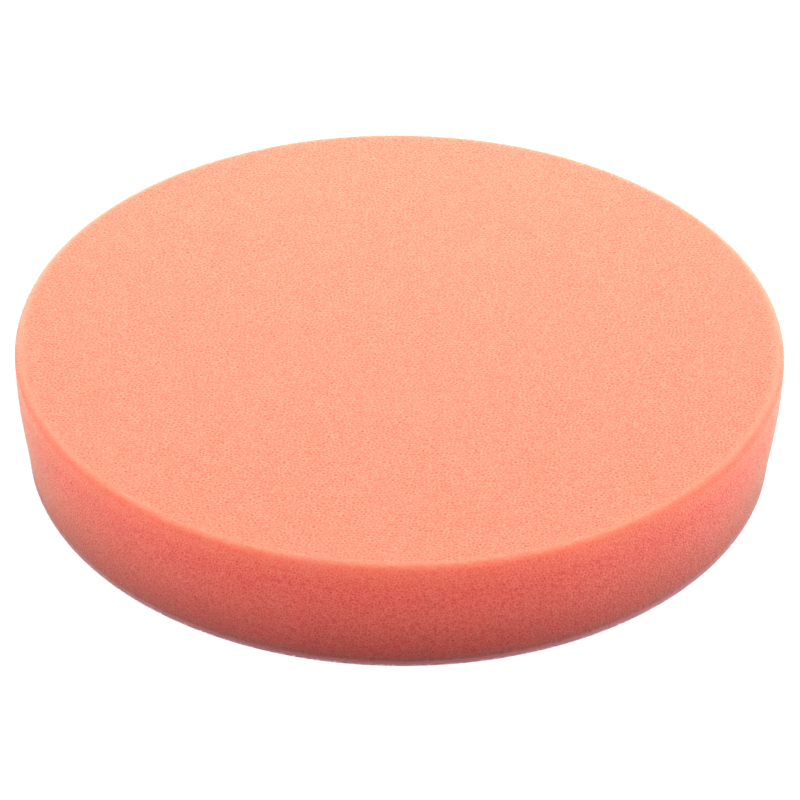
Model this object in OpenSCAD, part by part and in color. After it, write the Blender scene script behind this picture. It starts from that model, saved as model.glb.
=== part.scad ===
// Flat round foam polishing pad: a soft foam disc with a hook-and-loop backing.
// Four layers are bonded face to face and trimmed together as one slightly tapered disc.
// The origin is the centre of the loop face, and +Z points to the polishing face.

/* [Disc] */
// Diameter at the pad's widest line, just under the polishing face
pad_d = 150; // [75:1:200]
// Total thickness, from the tips of the loops to the polishing face
pad_h = 25; // [15:0.5:50]
// Angle by which the side leans in towards the back, in degrees
side_taper = 5.5; // [0:0.5:12]
// Radius of the soft edge around the polishing face
face_edge_r = 1.8; // [0.6:0.1:5]

/* [Backing] */
// Height of the loop pile that the polisher's hooks grip
pile_h = 0.7; // [0.6:0.1:2]
// Radius of the worn rim around the tips of the loops
pile_edge_r = 0.3; // [0.1:0.05:0.3]
// Thickness of the knitted ground that carries the loops
knit_h = 0.35; // [0.2:0.05:0.8]
// Thickness of the hot-melt film that bonds the knit to the foam
film_h = 0.15; // [0.1:0.05:0.4]

/* [Hidden] */
$fn = 180;
knit_z = pile_h; // the knit lies on the roots of the loops
film_z = knit_z + knit_h;
foam_z = film_z + film_h;
face_arc_x = pad_d / 2 - face_edge_r; // centre of the face edge's arc, from the axis
face_arc_z = pad_h - face_edge_r;

// Radius of the leaning side at height z; the side is tangent to the face edge's arc
function side_r(z) =
    face_arc_x + face_edge_r / cos(side_taper) - (face_arc_z - z) * tan(side_taper);

// Point where the leaning side touches a circle of radius r about [x, z]
function on_side(x, z, r) = [x + r * cos(side_taper), z - r * sin(side_taper)];

// One layer of the laminate between two heights, trimmed along the leaning side
module layer(bottom, height) {
    translate([0, 0, bottom])
        cylinder(h = height, r1 = side_r(bottom), r2 = side_r(bottom + height));
}

// Open-cell polyurethane foam: flat face, softly rounded edge, leaning side
module foam_disc() {
    color("salmon")
        rotate_extrude()
            union() {
                polygon([
                    [0, foam_z],
                    [side_r(foam_z), foam_z],
                    on_side(face_arc_x, face_arc_z, face_edge_r),
                    [face_arc_x, face_arc_z],
                    [face_arc_x, pad_h],
                    [0, pad_h]
                ]);
                translate([face_arc_x, face_arc_z])
                    circle(r = face_edge_r);
            }
}

// Hot-melt film, sealed between the foam and the knit
module adhesive_film() {
    color("ivory")
        layer(film_z, film_h);
}

// Knitted ground of the loop fabric
module backing_knit() {
    color("rosybrown")
        layer(knit_z, knit_h);
}

// Loop pile as a closed disc of its outer shape, with a rounded rim at the loops' tips
module loop_pile() {
    rim_x = side_r(pile_edge_r) - pile_edge_r / cos(side_taper);
    color("thistle")
        rotate_extrude()
            union() {
                polygon([
                    [0, 0],
                    [rim_x, 0],
                    [rim_x, pile_edge_r],
                    on_side(rim_x, pile_edge_r, pile_edge_r),
                    [side_r(pile_h), pile_h],
                    [0, pile_h]
                ]);
                translate([rim_x, pile_edge_r])
                    circle(r = pile_edge_r);
            }
}

foam_disc();
adhesive_film();
backing_knit();
loop_pile();
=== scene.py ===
"""Looks and studio for a flat foam polishing pad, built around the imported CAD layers.

The foam is one closed mesh in which every pore is a real pit. Pore centres are scattered over the
surface, evened out and joined by a Delaunay triangulation, and the ridges between pores run
through the triangles' middles. The hook-and-loop backing is a knitted sheet with yarn loops
hanging from it.
"""
import math

import bpy
import numpy as np
from mathutils import Matrix, Vector
from mathutils.geometry import delaunay_2d_cdt


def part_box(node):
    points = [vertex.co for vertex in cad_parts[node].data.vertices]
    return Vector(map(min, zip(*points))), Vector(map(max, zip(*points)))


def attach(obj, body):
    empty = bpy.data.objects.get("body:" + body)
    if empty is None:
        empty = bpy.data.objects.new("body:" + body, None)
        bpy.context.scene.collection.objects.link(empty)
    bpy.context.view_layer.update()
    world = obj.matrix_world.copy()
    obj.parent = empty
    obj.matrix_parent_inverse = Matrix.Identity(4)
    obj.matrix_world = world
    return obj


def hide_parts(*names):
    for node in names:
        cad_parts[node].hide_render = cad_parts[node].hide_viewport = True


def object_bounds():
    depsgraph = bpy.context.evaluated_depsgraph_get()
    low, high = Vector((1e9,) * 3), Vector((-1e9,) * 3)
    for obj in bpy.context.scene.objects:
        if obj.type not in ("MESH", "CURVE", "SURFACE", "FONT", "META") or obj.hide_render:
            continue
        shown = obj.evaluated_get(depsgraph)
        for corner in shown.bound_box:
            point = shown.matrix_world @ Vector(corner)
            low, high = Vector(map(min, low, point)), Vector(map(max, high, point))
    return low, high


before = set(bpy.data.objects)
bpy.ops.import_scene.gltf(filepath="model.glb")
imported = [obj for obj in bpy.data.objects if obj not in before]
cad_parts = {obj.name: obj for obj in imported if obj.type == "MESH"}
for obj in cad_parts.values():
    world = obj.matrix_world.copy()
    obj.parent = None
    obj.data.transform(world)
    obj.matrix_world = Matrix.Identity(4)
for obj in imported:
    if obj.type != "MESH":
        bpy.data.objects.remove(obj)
cad_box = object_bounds()

MM = 0.001
TURN = 2 * math.pi

# Foam; lengths are in metres
FACE_EDGE = 1.8 * MM  # radius of the soft edge around the polishing face
FACE_PITCH = 0.85 * MM  # distance between pores on the face
SIDE_PITCH = 0.7 * MM  # the cut side crosses the cells the other way, where they are narrower
PORE_DEPTH = 0.32 * MM  # the deepest pores; the others are a share of it
RIDGE_HEIGHT = 0.08 * MM  # the highest ridges between pores
PORE_SHARE = (0.6, 0.18)  # mean and spread of a pore's depth, against the deepest
RIDGE_SHARE = (-0.3, 0.4)  # mean and spread of a ridge; below 0 it stands proud of the surface
EVENING_ROUNDS = 2  # how often the pores move to the middle of their neighbours
HOLE = 0.5  # how far from its centre a pore's steep hole reaches towards the ridges
SHOULDER = 0.3  # depth of the land at the hole's edge, against the depth of its centre
RIM_LINE = 0.3  # where the rim line runs on the rounded edge, as a share of its arc
RIM_REACH = 0.9 * MM  # how far the smoother relief and the painted highlight reach either side of the rim line
RIM_SMOOTHING = 0.5  # share of the relief that is lost on the rim line
SIDE_FADE = 6.0 * MM  # how far below the rim line the redder colour of the cut side, partly painted shade, begins in full
FOOT_REACH = 1.2 * MM  # how far the paler pink tint creeps up the side from the foot; the painted shade there reaches five times as far
BELLY = 0.25 * MM  # how far the side swells out near its top and tucks in at its foot
WAVE = 0.08 * MM  # how far the cut side wanders from a true circle

# Hook-and-loop backing
WALE = 2.0 * MM  # width of one column of stitches
COURSE = 1.6 * MM  # height of one row of stitches
STITCH_RELIEF = 0.1 * MM
KNIT_STEP = 0.5 * MM  # distance between the points of the knitted sheet
LOOP_PITCH = (1.3 * MM, 1.15 * MM)  # distance between loops along a row, and between rows
LOOP_SPAN = 1.1 * MM  # distance between the two roots of a loop
LOOP_STATIONS = 5  # rings of points along the yarn of one loop
YARN_SIDES = 3  # each closed end is one triangle, so this stays 3
YARN_RADIUS = 0.085 * MM
RIM_LOOP_PITCH = 0.5 * MM  # distance between loops in the rings along the cut rim
RIM_LOOP_INSETS = (0.12 * MM, 0.35 * MM, 0.7 * MM)  # how far inside the rim each ring stands
PILE_ROUNDING = 0.4 * MM  # how far the pile's rim draws in at the tips of the loops
FILM_SETBACK = 0.12 * MM  # how far the film's edge stands back in the joint
FILM_BULGE = 0.08 * MM  # how far the film's edge then wanders in or out

# Soft lights, as name, place, width and watts, each aimed at the pad
SOFTBOXES = (
    ("overhead", (0, 0.1, 0.9), 2.0, 2.6),
    ("key_back", (0, 0.38, 0.3), 0.4, 2.8),
    ("left_high", (-0.8, 0, 0.8), 0.8, 7.1),
    ("right_high", (0.8, 0, 0.8), 0.8, 8.8),
    ("fill_front", (0, -0.8, 0.6), 0.6, 1.0),
)
CARD_HOLE = 84 * MM  # radius left dark round the pad, which shades the foot of its side
FOOT_CARD = (70 * MM, 77 * MM)  # a narrow pale ring under the foot, so that it isn't quite dark

# Camera: a long lens from the front and above
CAMERA_DISTANCE = 1.2
CAMERA_ELEVATION = math.radians(35.0)
CAMERA_ROLL = math.radians(0.55)
CAMERA_TARGET = Vector((0.2 * MM, 0, 10.4 * MM))
CAMERA_LENS = 275.0


# ---------------------------------------------------------------- mesh helpers

def new_piece(name, points, faces, material, replaces):
    """A smooth mesh object that rides on the one body and stands for CAD nodes."""
    mesh = bpy.data.meshes.new(name)
    mesh.from_pydata(points, [], faces)
    mesh.polygons.foreach_set("use_smooth", np.ones(len(mesh.polygons), bool))
    mesh.materials.append(material)
    piece = bpy.data.objects.new(name, mesh)
    bpy.context.scene.collection.objects.link(piece)
    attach(piece, "root")
    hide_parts(*replaces)
    return piece


def add_value(mesh, name, values):
    """Stores one number per point, which a material reads by its name."""
    layer = mesh.attributes.new(name, "FLOAT", "POINT")
    layer.data.foreach_set("value", np.asarray(values, np.float32))


def add_map(mesh, corners):
    """A UV map named OFBake, one point per face corner."""
    layer = mesh.uv_layers.new(name="OFBake")
    layer.data.foreach_set("uv", np.asarray(corners, np.float32).ravel())


def wander(angle, rng, waves=(2, 3, 5, 8, 13)):
    """A smooth, closed, seeded wobble between about -1 and 1."""
    total = np.zeros_like(angle)
    for n in waves:
        total += np.sin(n * angle + rng.uniform(0, TURN)) / len(waves)
    return total


def ring_of(count, radius):
    """Flat points, evenly spaced round a circle."""
    angle = np.arange(count) / count * TURN
    return np.stack([radius * np.cos(angle), radius * np.sin(angle)], axis=1)


def fan(middle, ring, upward):
    """Triangles from one point to a closed ring of points."""
    a, b = ring, np.roll(ring, -1)
    if not upward:
        a, b = b, a
    return np.stack([np.full(len(ring), middle), a, b], axis=1)


def wall(low, high):
    """Triangles between two closed rings with the same number of points."""
    next_low, next_high = np.roll(low, -1), np.roll(high, -1)
    return np.concatenate([
        np.stack([low, next_low, next_high], axis=1),
        np.stack([low, next_high, high], axis=1),
    ])


def triangulate(flat):
    """Delaunay triangles, anticlockwise, over a set of flat points."""
    found = delaunay_2d_cdt([Vector(p) for p in flat], [], [], 0, 1e-9)
    source = np.array([s[0] for s in found[3]], int)
    triangles = source[np.array(found[2], int)]
    a = flat[triangles[:, 1]] - flat[triangles[:, 0]]
    b = flat[triangles[:, 2]] - flat[triangles[:, 0]]
    backward = a[:, 0] * b[:, 1] < a[:, 1] * b[:, 0]
    triangles[backward] = triangles[backward][:, [0, 2, 1]]
    return triangles


def spread_evenly(flat, fixed, rounds):
    """Moves every point but the last few, which are fixed, to the middle of its neighbours."""
    for _ in range(rounds):
        triangles = triangulate(flat)
        corner = triangles.ravel()
        others = (flat[triangles].sum(axis=1)[:, None] - flat[triangles]).reshape(-1, 2) / 2
        share = np.bincount(corner, minlength=len(flat))
        moved = [np.bincount(corner, others[:, k], len(flat)) / share for k in (0, 1)]
        flat = np.concatenate([np.stack(moved, axis=1)[:-fixed], flat[-fixed:]])
    return flat


# ---------------------------------------------------------------- foam

class Outline:
    """The foam's half section, measured along its surface from the middle of the face."""

    def __init__(self, low, high, back_radius):
        self.face = high.x - FACE_EDGE
        self.edge_z = high.z - FACE_EDGE
        across = back_radius - self.face
        down = low.z - self.edge_z
        to_back = math.hypot(across, down)
        self.lean = math.atan2(down, across) + math.acos(FACE_EDGE / to_back)
        self.edge = FACE_EDGE * (math.pi / 2 - self.lean)
        self.side = math.sqrt(to_back ** 2 - FACE_EDGE ** 2)
        self.length = self.face + self.edge + self.side
        self.rim = self.face + RIM_LINE * self.edge

    def place(self, along):
        """Radius and height at a distance along the surface, and the outward normal there."""
        on_edge = np.clip(along - self.face, 0, self.edge)
        on_side = np.maximum(along - self.face - self.edge, 0)
        angle = math.pi / 2 - on_edge / FACE_EDGE
        across, up = np.cos(angle), np.sin(angle)
        radius = np.minimum(along, self.face) + FACE_EDGE * across + on_side * math.sin(self.lean)
        height = self.edge_z + FACE_EDGE * up - on_side * math.cos(self.lean)
        return radius, height, across, up


def scatter_pores(outline, rng):
    """Pore centres as (distance along the surface, angle): a jittered grid, then jittered rings."""
    row = FACE_PITCH * math.sqrt(3) / 2
    jitter = FACE_PITCH / 2
    rows = int(outline.face / row) + 1
    columns = int(outline.face / FACE_PITCH) + 1
    y, x = np.meshgrid(np.arange(-rows, rows + 1.0), np.arange(-columns, columns + 1.0))
    x = (x + 0.5 * (y % 2)).ravel() * FACE_PITCH
    y = y.ravel() * row
    x, y = (v + rng.uniform(-jitter, jitter, len(v)) for v in (x, y))
    on_face = np.hypot(x, y) < outline.face - 0.4 * FACE_PITCH
    along, angle = [np.hypot(x, y)[on_face]], [np.arctan2(y, x)[on_face]]
    row = SIDE_PITCH * math.sqrt(3) / 2
    jitter = SIDE_PITCH / 2
    for ring in np.arange(outline.face + row / 4, outline.length - 0.9 * row, row):
        radius = outline.place(np.array([ring]))[0][0]
        count = round(TURN * radius / SIDE_PITCH)
        turn = (np.arange(count) + rng.uniform()) / count * TURN
        along.append(ring + rng.uniform(-jitter, jitter, count))
        angle.append(turn + rng.uniform(-jitter, jitter, count) / radius)
    return np.concatenate(along), np.concatenate(angle)


def pore_cells(centres):
    """Each pore as a fan round its centre: all points, and triangles that start at a centre.

    The hem's points have fans too, and one more triangle closes the gap between two neighbours.
    """
    triangles = triangulate(centres)
    points = np.concatenate([centres, centres[triangles].mean(axis=1)])
    sides = np.concatenate([triangles[:, [0, 1]], triangles[:, [1, 2]], triangles[:, [2, 0]]])
    owner = np.tile(np.arange(len(triangles)), 3) + len(centres)
    flipped = sides[:, 0] > sides[:, 1]
    ordered = np.where(flipped[:, None], sides[:, ::-1], sides)
    order = np.lexsort((flipped, ordered[:, 1], ordered[:, 0]))
    ordered, owner, sides = ordered[order], owner[order], sides[order]
    paired = np.flatnonzero((ordered[1:] == ordered[:-1]).all(axis=1))
    lone = np.setdiff1d(np.arange(len(sides)), np.concatenate([paired, paired + 1]))
    left, right = owner[paired], owner[paired + 1]
    fans = np.concatenate([
        np.stack([ordered[paired, 0], right, left], axis=1),
        np.stack([ordered[paired, 1], left, right], axis=1),
        np.stack([sides[lone, 0], sides[lone, 1], owner[lone]], axis=1),
    ])
    return points, fans


def open_holes(points, fans, pores):
    """Adds a point on every spoke of every pore, so that its hole is steeper than its land."""
    inner = fans[:, 0] < pores
    kept, fans = fans[~inner], fans[inner]
    centre, one, two = fans.T
    spokes = np.concatenate([centre * len(points) + one, centre * len(points) + two])
    spokes, which = np.unique(spokes, return_inverse=True)
    hub, end = spokes // len(points), spokes % len(points)
    low, high = np.split(which + len(points), 2)
    points = np.concatenate([points, points[hub] + HOLE * (points[end] - points[hub])])
    fans = np.concatenate([
        kept,
        np.stack([centre, low, high], axis=1),
        np.stack([low, one, two], axis=1),
        np.stack([low, two, high], axis=1),
    ])
    return points, fans, hub


class FoamMap:
    """Where the foam's surface lies on its square map: face, three strips of side, and back."""

    square = 204 * MM  # width of the map; face and side lie on it at life size
    gap = 0.6 * MM
    strip_run = 200 * MM  # length of one strip of the side
    back_share = 0.32  # size of the back on the map, against life size
    back_middle = (115 * MM, 178 * MM)

    def __init__(self, outline, back_points):
        self.split = outline.rim
        self.run_radius = outline.face + FACE_EDGE
        self.strip_width = outline.length - self.split
        self.back_points = back_points

    def corners(self, along, angle, fans, cap):
        """Map points for the corners of the fans, then for those of the cap over the back."""
        middle = np.exp(1j * angle[fans]).sum(axis=1)
        middle = np.angle(middle) % TURN
        turned = middle[:, None] + (angle[fans] - middle[:, None] + math.pi) % TURN - math.pi
        distance = along[fans]
        centre = self.split + self.gap
        face = np.stack([distance * np.cos(turned), distance * np.sin(turned)], axis=2) + centre

        run = turned * self.run_radius
        strip = (middle * self.run_radius // self.strip_run).astype(int)[:, None]
        across = distance - self.split
        down = run - strip * self.strip_run
        upright_x = 2 * centre + self.gap + strip * (self.strip_width + self.gap) + across
        upright = np.stack([upright_x, down + self.gap], axis=2)
        lying = np.stack([down + self.gap, 2 * centre + self.gap + across], axis=2)
        side = np.where((strip < 2)[:, :, None], upright, lying)

        on_face = (distance.mean(axis=1) < self.split)[:, None, None]
        back = self.back_points[cap] * self.back_share + np.array(self.back_middle)
        return np.concatenate([np.where(on_face, face, side), back]) / self.square


def pore_relief(rng, pores, hem, ridges, hub):
    """Depth of each point: holes, hem, ridges, then shoulders. Pits are above 0, up to 1."""
    holes = np.clip(rng.normal(*PORE_SHARE, pores), 0.1, 1.0)
    proud = np.clip(rng.normal(*RIDGE_SHARE, ridges), -1, 0.5)
    return np.concatenate([holes, np.zeros(hem), proud, SHOULDER * holes[hub]])


def build_foam(material):
    """The foam disc: pored face, edge and side, closed by a flat back."""
    low, high = (Vector(c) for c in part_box("foam_disc"))
    outline = Outline(low, high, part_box("adhesive_film")[1][0])
    rng = np.random.default_rng(7)
    along, angle = scatter_pores(outline, rng)
    pores = len(along)

    hem = round(TURN * outline.place(np.array([outline.length]))[0][0] / SIDE_PITCH)
    along = np.concatenate([along, np.full(hem, outline.length)])
    angle = np.concatenate([angle, np.arange(hem) / hem * TURN])
    centres = np.stack([along * np.cos(angle), along * np.sin(angle)], axis=1)
    flat, fans = pore_cells(spread_evenly(centres, hem, EVENING_ROUNDS))
    ridges = len(flat) - pores - hem
    flat, fans, hub = open_holes(flat, fans, pores)
    along = np.hypot(flat[:, 0], flat[:, 1])
    along[pores:pores + hem] = outline.length
    angle = np.arctan2(flat[:, 1], flat[:, 0])

    # rim also sets a painted highlight along the rim line in the material, besides the smoother
    # relief
    rim = np.exp(-((along - outline.rim) / RIM_REACH) ** 2)
    # side sets the cut side's redder colour, partly painted shade, and the painted glow just below
    # the rim
    side = np.clip((along - outline.rim) / SIDE_FADE, 0, 1)
    # foot sets the painted shade towards the foot and a paler pink tint over its lowest mm
    foot = np.exp((along - outline.length) / FOOT_REACH)
    depth = pore_relief(rng, pores, hem, ridges, hub) * (1 - RIM_SMOOTHING * rim)
    lift = np.where(depth > 0, -PORE_DEPTH * depth, -RIDGE_HEIGHT * depth)
    radius, height, across, up = outline.place(along)
    down = np.clip((along - outline.face - outline.edge) / outline.side, 0, 1)
    sideways = BELLY * np.sin(1.5 * math.pi * down)  # out near the top, in at the foot
    sideways += WAVE * wander(angle, rng) * np.clip(radius / outline.face, 0, 1) ** 4
    radius = radius + across * lift + sideways
    height = height + up * lift
    points = np.stack([radius * np.cos(angle), radius * np.sin(angle), height], axis=1)

    middle = len(points)
    points = np.concatenate([points, [[0, 0, low.z]]])
    cap = fan(middle, np.arange(pores, pores + hem), upward=False)
    foam = new_piece("foam", points, np.concatenate([fans, cap]), material, ["foam_disc"])
    # The pore depth also sets painted shade in the pits and a painted highlight on proud ridges
    add_value(foam.data, "pore", np.append(depth, 0))
    add_value(foam.data, "rim", np.append(rim, 0))
    add_value(foam.data, "side", np.append(side, 1))
    add_value(foam.data, "foot", np.append(foot, 1))
    add_map(foam.data, FoamMap(outline, points[:, :2]).corners(along, angle, fans, cap))


# ---------------------------------------------------------------- backing

def sheet_map(points, faces, lower):
    """Map of a thin disc: its lower side large, and the rest small in a corner."""
    half = np.abs(points[:, :2]).max()
    flat = points[faces][:, :, :2] / half
    large = 0.44 * flat + 0.45
    small = 0.09 * flat + 0.905
    return np.where(lower[:, None, None], large, small)


def build_film(material):
    """A hot-melt film whose squeezed edge wanders in and out a little, just inside the joint."""
    low, high = (Vector(c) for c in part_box("adhesive_film"))
    rng = np.random.default_rng(11)
    count = 720
    ring = ring_of(count, 1.0)
    angle = np.arange(count) / count * TURN
    bulge = FILM_BULGE * wander(angle, rng, (7, 19, 43, 61, 97)) - FILM_SETBACK
    # Three heights on the rounded edge, and how far it reaches out at each
    levels = [(low.z, -0.05 * MM), ((low.z + high.z) / 2, 0.03 * MM), (high.z, -0.04 * MM)]
    rings = []
    for z, out in levels:
        radius = (high.x - BELLY + bulge + out)[:, None]
        rings.append(np.column_stack([ring * radius, np.full(count, z)]))
    points = np.concatenate(rings + [[[0, 0, low.z], [0, 0, high.z]]])
    one, two, three = (np.arange(count) + k * count for k in range(3))
    below = fan(3 * count, one, upward=False)
    above = fan(3 * count + 1, three, upward=True)
    faces = np.concatenate([below, wall(one, two), wall(two, three), above])
    film = new_piece("glue_film", points, faces, material, ["adhesive_film"])
    add_map(film.data, sheet_map(points, faces, np.arange(len(faces)) < len(below)))


def stitch_height(x, y):
    """Relief of a knitted ground: columns of chevron stitches, between -1 and 1."""
    across = x / WALE
    leg = np.abs(across % 1 - 0.5) * 2
    chevron = np.sin(TURN * (y / COURSE - 0.4 * leg))
    return 0.55 * chevron + 0.45 * np.cos(TURN * (across - 0.5))


def build_knit(material):
    """The knitted ground: stitches on its lower side, a frayed rim and a flat upper side."""
    low, high = (Vector(c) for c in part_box("backing_knit"))
    rng = np.random.default_rng(13)
    radius = high.x - BELLY
    hem = round(TURN * radius / KNIT_STEP)
    rim = ring_of(hem, radius)
    steps = int(radius / KNIT_STEP)
    reach = np.arange(-steps, steps + 1) * KNIT_STEP
    x, y = (v.ravel() for v in np.meshgrid(reach, reach))
    inside = np.hypot(x, y) < radius - 0.6 * KNIT_STEP
    flat = np.concatenate([rim, np.stack([x[inside], y[inside]], axis=1)])

    below = triangulate(flat)[:, ::-1]
    fray = 1 + 0.0004 * rng.uniform(-1, 1, (hem, 1))  # up to 0.03 mm in or out
    rim = rim * fray
    flat[:hem] = rim
    edge_fade = np.clip((radius - np.hypot(*flat.T)) / (2 * KNIT_STEP), 0, 1)
    drop = STITCH_RELIEF * (1 + stitch_height(*flat.T) * edge_fade)
    lower = np.column_stack([flat, low.z - drop + STITCH_RELIEF])
    upper = np.column_stack([rim, np.full(hem, high.z)])
    points = np.concatenate([lower, upper, [[0, 0, high.z]]])
    top = np.arange(hem) + len(lower)
    above = fan(len(points) - 1, top, upward=True)
    faces = np.concatenate([below, wall(np.arange(hem), top), above])
    knit = new_piece("knit_ground", points, faces, material, ["backing_knit"])
    add_map(knit.data, sheet_map(points, faces, np.arange(len(faces)) < len(below)))
    return knit


def loop_roots(radius, rng):
    """Where the loops stand, and which way each one is turned: rows, then a dense rim."""
    across, up = LOOP_PITCH
    x, y = np.meshgrid(np.arange(-radius, radius, across), np.arange(-radius, radius, up))
    x[1::2] += across / 2
    x, y = x.ravel(), y.ravel()
    inside = np.hypot(x, y) < radius - 1.4 * MM
    x, y = x[inside], y[inside]
    turn = [math.pi / 2 + rng.uniform(-0.6, 0.6, len(x))]
    x, y = [x], [y]
    for inset in RIM_LOOP_INSETS:
        count = round(TURN * radius / RIM_LOOP_PITCH)
        angle = (np.arange(count) + rng.uniform(-0.25, 0.25, count)) / count * TURN
        x.append((radius - inset) * np.cos(angle))
        y.append((radius - inset) * np.sin(angle))
        turn.append(angle + math.pi / 2 + rng.uniform(-0.5, 0.5, count))
    return np.concatenate(x), np.concatenate(y), np.concatenate(turn)


def hang_loops(x, y, turn, low, high, rng):
    """Centre line of each loop's yarn, an arch from the knit down to the tips, and its side."""
    count = len(x)
    t = np.linspace(0, math.pi, LOOP_STATIONS)
    span = LOOP_SPAN * rng.uniform(0.75, 1.15, (count, 1))
    root = high.z + 0.1 * MM  # sunk in the knit
    hang = (root - low.z - YARN_RADIUS) * rng.uniform(0.9, 1.0, (count, 1))
    lean = 0.3 * MM * rng.uniform(-1, 1, (count, 1))
    along = span / 2 * np.cos(t)
    aside = lean * np.sin(t)
    z = root - hang * np.sin(t) ** 0.7
    cos = np.cos(turn)[:, None]
    sin = np.sin(turn)[:, None]
    centre = np.stack([x[:, None] + along * cos - aside * sin,
                       y[:, None] + along * sin + aside * cos, z], axis=2)
    return centre, np.stack([-sin, cos, np.zeros_like(sin)], axis=2)


def tube_faces():
    """Faces of one loop's yarn: a tube of rings of points, with closed ends."""
    ring = np.arange(YARN_SIDES)
    faces = []
    for k in range(LOOP_STATIONS - 1):
        faces.append(wall(k * YARN_SIDES + ring, (k + 1) * YARN_SIDES + ring))
    last = (LOOP_STATIONS - 1) * YARN_SIDES
    faces.append(np.array([[0, 2, 1], [last, last + 1, last + 2]]))
    return np.concatenate(faces)


def build_loops(material):
    """Yarn loops that hang from the knit, held inside the rounded rim of the pile."""
    low, high = (Vector(c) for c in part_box("loop_pile"))
    rng = np.random.default_rng(17)
    radius = high.x - BELLY
    x, y, turn = loop_roots(radius, rng)
    centre, out = hang_loops(x, y, turn, low, high, rng)
    run = np.gradient(centre, axis=1)
    run /= np.linalg.norm(run, axis=2, keepdims=True)
    out = out - (out * run).sum(axis=2, keepdims=True) * run
    out /= np.linalg.norm(out, axis=2, keepdims=True)
    over = np.cross(run, out)
    around = np.arange(YARN_SIDES) / YARN_SIDES * TURN
    points = (centre[:, :, None] + YARN_RADIUS * (
        np.cos(around)[:, None] * out[:, :, None] + np.sin(around)[:, None] * over[:, :, None]))
    reach = np.hypot(points[..., 0], points[..., 1])
    below = np.clip(1 - points[..., 2] / high.z, 0, 1)
    limit = radius - PILE_ROUNDING * below ** 2
    points[..., :2] *= np.minimum(1, limit / reach)[..., None]

    size = LOOP_STATIONS * YARN_SIDES
    starts = np.arange(len(x)) * size
    faces = (tube_faces()[None] + starts[:, None, None]).reshape(-1, 3)
    points = points.reshape(-1, 3)
    loops = new_piece("yarn_loops", points, faces, material, ["loop_pile"])
    add_value(loops.data, "shade", np.repeat(rng.uniform(size=len(x)), size))
    add_map(loops.data, points[faces][:, :, :2] / (2.02 * radius) + 0.5)
    return loops


# ---------------------------------------------------------------- materials
# Colours are linear red, green, blue and alpha.

class Nodes:
    """Short calls for building a node material."""

    def __init__(self, name):
        self.material = bpy.data.materials.new(name)
        self.material.use_nodes = True
        self.tree = self.material.node_tree
        self.tree.nodes.clear()
        self.shader = self.add("ShaderNodeBsdfPrincipled")
        output = self.add("ShaderNodeOutputMaterial")
        self.tree.links.new(self.shader.outputs[0], output.inputs["Surface"])
        self.place = self.add("ShaderNodeTexCoord").outputs["Object"]

    def add(self, kind, inputs=None, **settings):
        node = self.tree.nodes.new(kind)
        for key, value in settings.items():
            setattr(node, key, value)
        for key, value in (inputs or {}).items():
            self.set(node.inputs[key], value)
        return node

    def set(self, socket, value):
        if isinstance(value, bpy.types.NodeSocket):
            self.tree.links.new(value, socket)
        else:
            socket.default_value = value

    def shade(self, **values):
        """Sets the shader's own sockets, given with underscores for spaces."""
        for name, value in values.items():
            self.set(self.shader.inputs[name.replace("_", " ")], value)

    def noise(self, size, detail=2.0):
        """Noise between 0 and 1 whose features are about size metres across."""
        node = self.add("ShaderNodeTexNoise", {
            "Vector": self.place, "Scale": 1 / size, "Detail": detail})
        return node.outputs["Fac"]

    def value(self, name):
        """One of the numbers that the mesh stores per point."""
        return self.add("ShaderNodeAttribute", attribute_name=name).outputs["Fac"]

    def math(self, operation, a, b=0.0, c=0.0):
        return self.add("ShaderNodeMath", {0: a, 1: b, 2: c}, operation=operation).outputs[0]

    def spread(self, value, low, high, to_low=0.0, to_high=1.0):
        """Maps low..high to to_low..to_high, held at the ends."""
        node = self.add("ShaderNodeMapRange", {
            "Value": value, "From Min": low, "From Max": high,
            "To Min": to_low, "To Max": to_high})
        return node.outputs["Result"]

    def mix(self, factor, a, b):
        """Blends two colours: a where the factor is 0, b where it is 1."""
        node = self.add("ShaderNodeMix", data_type="RGBA")
        for socket, value in zip((node.inputs[0], node.inputs[6], node.inputs[7]), (factor, a, b)):
            self.set(socket, value)
        return node.outputs[2]

    def bump(self, height, distance):
        node = self.add("ShaderNodeBump", {"Height": height, "Distance": distance})
        self.shade(Normal=node.outputs[0])


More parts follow.
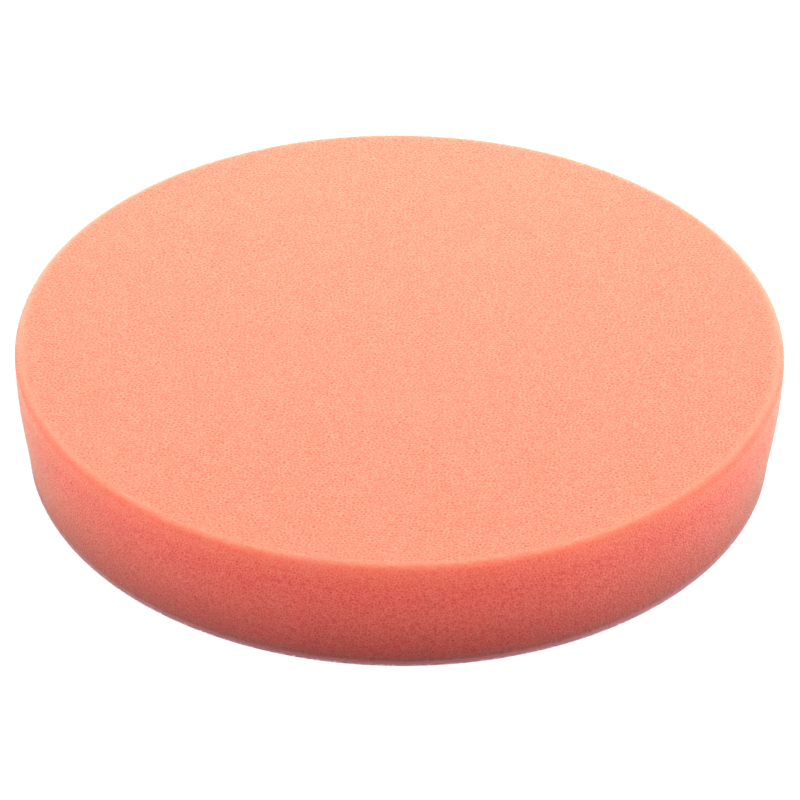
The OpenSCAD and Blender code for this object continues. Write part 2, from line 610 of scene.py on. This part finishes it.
def foam_material():
    """Orange on the face, redder down the cut side, with painted shade, highlights and glow, pinker
    at the foot.
    """
    n = Nodes("foam_salmon")
    pore, rim, side, foot = (n.value(name) for name in ("pore", "rim", "side", "foot"))
    # Mottling at the size of a pore that darkens the land: painted shade, standing for shaded pore
    # walls
    marks = n.spread(n.noise(0.75 * MM, 1.0), 0.3, 0.7)
    patches = n.spread(n.noise(9 * MM, 3.0), 0.3, 0.7)
    grain = n.spread(n.noise(1.6 * MM, 3.0), 0.3, 0.7)

    # A painted glow: just below the rim line the face's dark marks and pits turn bright red, for
    # light scattered out through the edge
    glow_below_rim = n.spread(side, 0.0, 0.12)
    dark_face = n.mix(glow_below_rim, (0.70, 0.190, 0.112, 1), (0.97, 0.220, 0.130, 1))
    face = n.mix(marks, dark_face, (0.98, 0.250, 0.166, 1))
    # The cut side is redder than the face, partly its own colour and partly painted shade, fading in
    # over SIDE_FADE below the rim
    cut = n.mix(marks, (0.90, 0.115, 0.085, 1), (1.0, 0.205, 0.160, 1))
    land = n.mix(side, face, cut)
    # Proud ridges get a lighter colour, a painted highlight, and pits a darker one, painted shade in
    # the pores; both follow the pore depth
    lit_strut = n.mix(side, (1.0, 0.318, 0.198, 1), (1.0, 0.23, 0.18, 1))
    pit = n.mix(glow_below_rim, (0.52, 0.150, 0.090, 1), (0.97, 0.145, 0.085, 1))
    pit = n.mix(side, pit, (0.74, 0.045, 0.036, 1))
    land = n.mix(n.spread(pore, 0.1, -0.6, 0.0, 0.6), land, lit_strut)
    share = n.math("MULTIPLY_ADD", patches, 0.05, n.spread(pore, 0.0, 1.0))
    colour = n.mix(share, land, pit)
    # A lighter line along the rim: a painted highlight
    colour = n.mix(n.math("MULTIPLY", rim, 0.4), colour, (1.0, 0.38, 0.25, 1))
    # Deeper red over the lower side, strongest at the foot: painted shade
    foot_shade_share = n.math("MULTIPLY", n.math("POWER", foot, 0.2), 0.45)
    colour = n.mix(foot_shade_share, colour, (1.0, 0.085, 0.11, 1))
    # A paler pink tint over the lowest mm or so of the side
    colour = n.mix(n.math("MULTIPLY", foot, 0.5), colour, (1.0, 0.19, 0.20, 1))
    n.shade(Base_Color=colour, Roughness=n.spread(grain, 0, 1, 0.82, 0.98))
    n.bump(n.math("MULTIPLY_ADD", n.noise(0.3 * MM), 0.5, marks), 0.04 * MM)
    n.shade(Specular_IOR_Level=0.2, Sheen_Weight=0.6, Sheen_Roughness=0.5,
            Sheen_Tint=(1.0, 0.8, 0.62, 1), Subsurface_Weight=0.85,
            Subsurface_Radius=(1.6, 0.3, 0.2), Subsurface_Scale=7 * MM)
    return n.material


def film_material():
    """Hot-melt film, pink from the foam and fabric that it has soaked into."""
    n = Nodes("hot_melt_film")
    cloud = n.spread(n.noise(2.5 * MM, 3.0), 0.3, 0.7)
    n.shade(Base_Color=n.mix(cloud, (0.78, 0.24, 0.25, 1), (0.88, 0.33, 0.34, 1)),
            Roughness=n.spread(cloud, 0, 1, 0.45, 0.65), Subsurface_Weight=0.2,
            Subsurface_Scale=1 * MM)
    n.bump(n.noise(0.4 * MM), 0.03 * MM)
    return n.material


def yarn_material(name, dark, pale, varied=None):
    """Fine twisted yarn: strand-to-strand colour, a fuzzy sheen and a hairy relief."""
    n = Nodes(name)
    hairs = n.spread(n.noise(0.12 * MM, 3.0), 0.3, 0.7)
    tone = n.spread(n.noise(6 * MM, 2.0), 0.3, 0.7)
    share = n.math("MULTIPLY_ADD", hairs, 0.45, n.math("MULTIPLY", tone, 0.3))
    if varied:
        share = n.math("MULTIPLY_ADD", n.value(varied), 0.35, share)
    n.shade(Base_Color=n.mix(share, dark, pale), Roughness=n.spread(hairs, 0, 1, 0.75, 0.95),
            Sheen_Weight=0.4, Sheen_Roughness=0.5)
    n.bump(hairs, 0.02 * MM)
    return n.material


def plain_material(name, colour, glow):
    """A matt stage surface that also gives off an even white light."""
    n = Nodes(name)
    n.shade(Base_Color=(*colour, 1), Roughness=0.9, Emission_Color=(1, 1, 1, 1),
            Emission_Strength=glow)
    return n.material


# ---------------------------------------------------------------- studio

def add_camera():
    """A long lens on the pad from the front and above, rolled a little to one side."""
    back = Vector((0, -math.cos(CAMERA_ELEVATION), math.sin(CAMERA_ELEVATION)))
    side = Vector((1, 0, 0))
    up = Vector((0, math.sin(CAMERA_ELEVATION), math.cos(CAMERA_ELEVATION)))
    across = side * math.cos(CAMERA_ROLL) + up * math.sin(CAMERA_ROLL)
    upright = up * math.cos(CAMERA_ROLL) - side * math.sin(CAMERA_ROLL)
    camera = bpy.data.objects.new("camera", bpy.data.cameras.new("camera"))
    camera.data.lens = CAMERA_LENS
    camera.data.clip_start = 0.05
    camera.data.clip_end = 20
    turn = Matrix((across, upright, back)).transposed().to_4x4()
    camera.matrix_world = Matrix.Translation(CAMERA_TARGET + back * CAMERA_DISTANCE) @ turn
    bpy.context.scene.collection.objects.link(camera)
    bpy.context.scene.camera = camera


def add_softbox(name, place, size, watts):
    light = bpy.data.lights.new(name, "AREA")
    light.shape = "SQUARE"
    light.size = size
    light.energy = watts
    lamp = bpy.data.objects.new(name, light)
    lamp.location = place
    lamp.rotation_euler = (-Vector(place)).to_track_quat("-Z", "Y").to_euler()
    bpy.context.scene.collection.objects.link(lamp)


def add_plane(name, z, material, hole=0.0, reach=3.0):
    """A round, flat stage plane of radius reach, with a round hole in its middle if asked for."""
    count = 96
    outer = np.column_stack([ring_of(count, reach), np.zeros(count)])
    inner = np.column_stack([ring_of(count, hole), np.zeros(count)])
    mesh = bpy.data.meshes.new(name)
    faces = wall(np.arange(count), np.arange(count) + count)
    mesh.from_pydata(np.concatenate([outer, inner]), [], faces)
    mesh.materials.append(material)
    plane = bpy.data.objects.new(name, mesh)
    plane.location.z = z
    bpy.context.scene.collection.objects.link(plane)
    return plane


def add_floor():
    """A white sweep for the eye, over two hidden cards that set how much light bounces."""
    bottom = cad_box[0][2]
    white = plain_material("white_sweep", (0.1, 0.1, 0.1), glow=0.96)
    floor = add_plane("floor", bottom - 0.05 * MM, white)
    floor.visible_diffuse = False
    floor.visible_glossy = False
    floor.visible_shadow = False
    grey = plain_material("grey_card", (0.8, 0.8, 0.8), glow=0.315)
    bounce_card = add_plane("bounce_card", bottom - 0.1 * MM, grey, hole=CARD_HOLE)
    pale = plain_material("pale_card", (0.8, 0.8, 0.8), glow=0.24)
    foot_card = add_plane("foot_card", bottom - 0.15 * MM, pale, *FOOT_CARD)
    for card in (bounce_card, foot_card):
        card.visible_camera = False
        card.visible_shadow = False


def add_backdrop():
    """A white background for the eye, which lights nothing."""
    world = bpy.data.worlds.new("backdrop")
    bpy.context.scene.world = world
    world.use_nodes = True
    background = world.node_tree.nodes["Background"]
    background.inputs["Color"].default_value = (1, 1, 1, 1)
    background.inputs["Strength"].default_value = 1.0
    for ray in ("diffuse", "glossy", "transmission", "scatter"):
        setattr(world.cycles_visibility, ray, False)


add_camera()
add_floor()
add_backdrop()
for softbox in SOFTBOXES:
    add_softbox(*softbox)
bpy.context.scene.view_settings.view_transform = "Standard"

build_foam(foam_material())
build_film(film_material())
# The pink of the knit and of the loops is painted reflected light from the foam on a pale fabric
knit = build_knit(yarn_material("knit_yarn", (0.88, 0.22, 0.26, 1), (0.96, 0.32, 0.37, 1)))
loops = build_loops(yarn_material("loop_yarn", (0.84, 0.36, 0.41, 1), (0.95, 0.56, 0.62, 1), "shade"))
